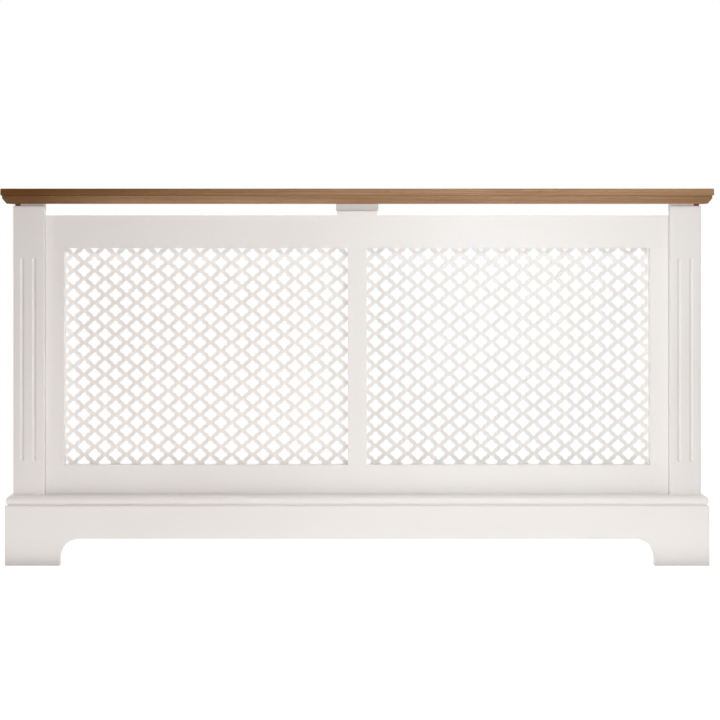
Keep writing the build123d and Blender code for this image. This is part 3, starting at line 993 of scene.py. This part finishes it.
def catch_screw_places():
    """Two screws on the inner face of each of the four catches."""
    low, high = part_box("catch_cases")
    inner, depth = high.x - CATCH_WIDTH, (low.y + high.y) / 2
    middles = (low.z + CATCH_HEIGHT / 2, high.z - CATCH_HEIGHT / 2)
    return [((side * inner, depth, middle + shift), (-side, 0, 0))
            for side, _ in SIDES for middle in middles for shift in (-CATCH_SCREW_SHIFT, CATCH_SCREW_SHIFT)]


def bracket_screw_places():
    """Two screws through each wall bracket into its side panel."""
    low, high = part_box("wall_brackets")
    inner, level = high.x - BRACKET_GAUGE, (low.z + high.z) / 2
    return [((side * inner, low.y + along, level), (-side, 0, 0))
            for side, _ in SIDES for along in BRACKET_SCREW_PLACES]


def batten_screw_places():
    """Two screws up through each corner batten into the board."""
    places = []
    for _, word in SIDES:
        low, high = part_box(f"shelf_batten_{word}")
        for share in BATTEN_SCREW_SHARES:
            x = low.x + share * (high.x - low.x)
            places.append(((x, high.y - BATTEN_SCREW_INSET, low.z), (0, 0, -1)))
    return places


class CABINET_OT_fittings(bpy.types.Operator):
    """Finish the catches, strikes, brackets and pads, and add their screws"""

    bl_idname = "cabinet.fittings"
    bl_label = "Fittings"

    def execute(self, context):
        colours = context.scene.cabinet_colours
        finish_node("shelf_pads", material("Pad rubber", rubber_material, colours), 0.5 * MM)
        finish_node("catch_cases", material("Catch plastic", plastic_material, colours), 0.6 * MM)
        finish_node("catch_magnets", material("Magnet steel", steel_material, colours), 0.2 * MM)
        zinc = material("Zinc plate", zinc_material, colours)
        finish_node("catch_strikes", zinc, 0.3 * MM)
        finish_node("wall_brackets", zinc, 0.3 * MM)
        screws("catch_screws", "cabinet", catch_screw_places(), zinc, CATCH_SCREW_RADIUS)
        screws("bracket_screws", "cabinet", bracket_screw_places(), zinc, BRACKET_SCREW_RADIUS)
        screws("batten_screws", "shelf", batten_screw_places(), zinc, BATTEN_SCREW_RADIUS)
        return {"FINISHED"}


# ---------------------------------------------------------------- stage
LAMPS = (   # name, place, target, width and height, power, colour and spread of the beam in degrees
    ("key", (0.42, -1.25, 0.57), (0.42, 0, 0.57), (0.5, 0.5), 2.7, (0.91, 1.0, 1.07), 180),
    ("rake", (-2.2, -1.1, 0.55), (0.75, 0, 0.45), (0.3, 0.8), 0.16, (0.92, 1.0, 1.06), 10),
    ("cross", (2.2, -1.1, 0.55), (-0.62, 0, 0.45), (0.3, 0.8), 0.28, (0.96, 1.0, 1.02), 22),
    ("fill", (-0.72, -0.75, 0.1), (-0.6, 0, 0.15), (0.4, 0.15), 0.22, (0.96, 1.0, 1.0), 180),
    ("high", (0.4, -2.0, 1.9), (0.25, 0, 0.3), (2.2, 0.6), 23.1, (0.955, 1.0, 1.005), 180),
    ("bounce", (-0.18, -0.26, 0.004), (-0.18, -0.26, 1), (2.2, 0.28), 1.06, (1.01, 1.0, 1.0), 180),
)
WHITE = (1.0, 1.0, 1.0)
FRONT_LIGHT = (1.12, 1.0, 0.86)
FRONT_LEVEL = 0.03
LIGHT_BESIDE = (2.35, 1.88, 1.84)
LIGHT_BEHIND = (0.9, 0.88, 0.87)
FLOOR_HALF = 30.0
FLOOR_LEVEL = -0.4 * MM
FLOOR_BOUNCE = (0.80, 0.80, 0.80)
FLOOR_SHOWN = (0.30, 0.30, 0.30)
FLOOR_GLOW = 0.86


def area_lamp(name, place, target, size, power, colour, spread):
    """Soft rectangular lamp aimed at a point; the spread of its beam is in degrees."""
    data = bpy.data.lights.new(name, "AREA")
    data.shape = "RECTANGLE"
    data.size, data.size_y = size
    data.energy = power
    data.color = colour
    data.spread = math.radians(spread)
    lamp = bpy.data.objects.new(name, data)
    lamp.location = place
    lamp.rotation_euler = (Vector(target) - Vector(place)).to_track_quat("-Z", "Y").to_euler()
    lamp.visible_camera = False
    bpy.context.scene.collection.objects.link(lamp)
    return lamp


def white_world():
    """White background as seen; its light is low in front of the object and brightest beside it."""
    world = bpy.data.worlds.new("Studio")
    world.use_nodes = True
    nodes = NodeTree(world.node_tree)
    nodes.tree.nodes.clear()
    _, toward_wall, up = nodes.split(nodes.node("ShaderNodeTexCoord").outputs["Generated"])
    rise = nodes.fit(up, 0.15, 0.7, FRONT_LEVEL, 0.0)
    tone = nodes.mix(nodes.fit(toward_wall, 0.05, 0.55), LIGHT_BESIDE, LIGHT_BEHIND)
    front = nodes.output("ShaderNodeBackground", Color=FRONT_LIGHT, Strength=rise)
    back = nodes.output("ShaderNodeBackground", Color=tone)
    seen = nodes.output("ShaderNodeBackground", Color=WHITE)
    lit = nodes.merge("ShaderNodeMixShader", nodes.fit(toward_wall, -0.5, 0.6), front, back)
    shown = nodes.merge("ShaderNodeMixShader", nodes.seen_directly(), lit, seen)
    nodes.feed(nodes.node("ShaderNodeOutputWorld").inputs["Surface"], shown)
    return world


def floor_material():
    """Pale plain floor that shows white and keeps a light shadow."""
    floor = bpy.data.materials.new("Floor")
    floor.use_nodes = True
    nodes = NodeTree(floor.node_tree)
    nodes.tree.nodes.clear()
    seen = nodes.seen_directly()
    matt = nodes.output("ShaderNodeBsdfDiffuse", Color=nodes.mix(seen, FLOOR_BOUNCE, FLOOR_SHOWN))
    strength = nodes.math("MULTIPLY", seen, FLOOR_GLOW)
    glow = nodes.output("ShaderNodeEmission", Color=WHITE, Strength=strength)
    both = nodes.merge("ShaderNodeAddShader", matt, glow)
    nodes.feed(nodes.node("ShaderNodeOutputMaterial").inputs["Surface"], both)
    return floor


def square_floor():
    """Large floor just under the cabinet's feet."""
    bm = bmesh.new()
    corners = ((-1, -1), (1, -1), (1, 1), (-1, 1))
    bm.faces.new([bm.verts.new((x * FLOOR_HALF, y * FLOOR_HALF, FLOOR_LEVEL)) for x, y in corners])
    mesh = bpy.data.meshes.new("floor")
    bm.to_mesh(mesh)
    bm.free()
    mesh.materials.append(floor_material())
    floor = bpy.data.objects.new("floor", mesh)
    bpy.context.scene.collection.objects.link(floor)
    return floor


def front_camera():
    """Level camera in front, shifted so that the cabinet stands where the picture has it."""
    data = bpy.data.cameras.new("camera")
    data.sensor_width = SENSOR
    data.lens = PIXELS_PER_METRE / PICTURE_SIDE * SENSOR
    data.shift_x = (PICTURE_SIDE / 2 - CENTRE_COLUMN) / PICTURE_SIDE
    data.shift_y = -(PICTURE_SIDE / 2 - EYE_ROW) / PICTURE_SIDE
    camera = bpy.data.objects.new("camera", data)
    camera.location = EYE
    camera.rotation_euler = (math.pi / 2, 0, 0)
    bpy.context.scene.collection.objects.link(camera)
    return camera


class CABINET_OT_stage(bpy.types.Operator):
    """Build the floor, the light and the camera"""

    bl_idname = "cabinet.stage"
    bl_label = "Stage"

    def execute(self, context):
        scene = context.scene
        scene.world = white_world()
        floor = square_floor()
        lamps = [area_lamp(*lamp) for lamp in LAMPS]
        scene.camera = front_camera()
        scene.view_settings.view_transform = "Standard"
        return {"FINISHED"}


# ---------------------------------------------------------------- add-on
STEPS = (
    CABINET_OT_shelf,
    CABINET_OT_posts,
    CABINET_OT_skirting,
    CABINET_OT_grilles,
    CABINET_OT_boards,
    CABINET_OT_fittings,
    CABINET_OT_stage,
)


class CABINET_PT_panel(bpy.types.Panel):
    """Sidebar panel with the cabinet's settings and its build steps"""

    bl_idname = "CABINET_PT_panel"
    bl_label = "Radiator Cover Cabinet"
    bl_space_type = "VIEW_3D"
    bl_region_type = "UI"
    bl_category = "Cabinet"

    def draw(self, context):
        for settings in (context.scene.cabinet_sizes, context.scene.cabinet_colours):
            for name in settings.__annotations__:
                self.layout.prop(settings, name)
        for step in STEPS:
            self.layout.operator(step.bl_idname)


CLASSES = (CabinetSizes, CabinetColours, *STEPS, CABINET_PT_panel)


def register():
    for cls in CLASSES:
        bpy.utils.register_class(cls)
    bpy.types.Scene.cabinet_sizes = bpy.props.PointerProperty(type=CabinetSizes)
    bpy.types.Scene.cabinet_colours = bpy.props.PointerProperty(type=CabinetColours)


def unregister():
    del bpy.types.Scene.cabinet_colours
    del bpy.types.Scene.cabinet_sizes
    for cls in reversed(CLASSES):
        bpy.utils.unregister_class(cls)


def main():
    """Register and run every step in order."""
    register()
    for step in STEPS:
        group, name = step.bl_idname.split(".")
        getattr(getattr(bpy.ops, group), name)()
    bpy.context.view_layer.update()


if __name__ == "__main__":
    main()
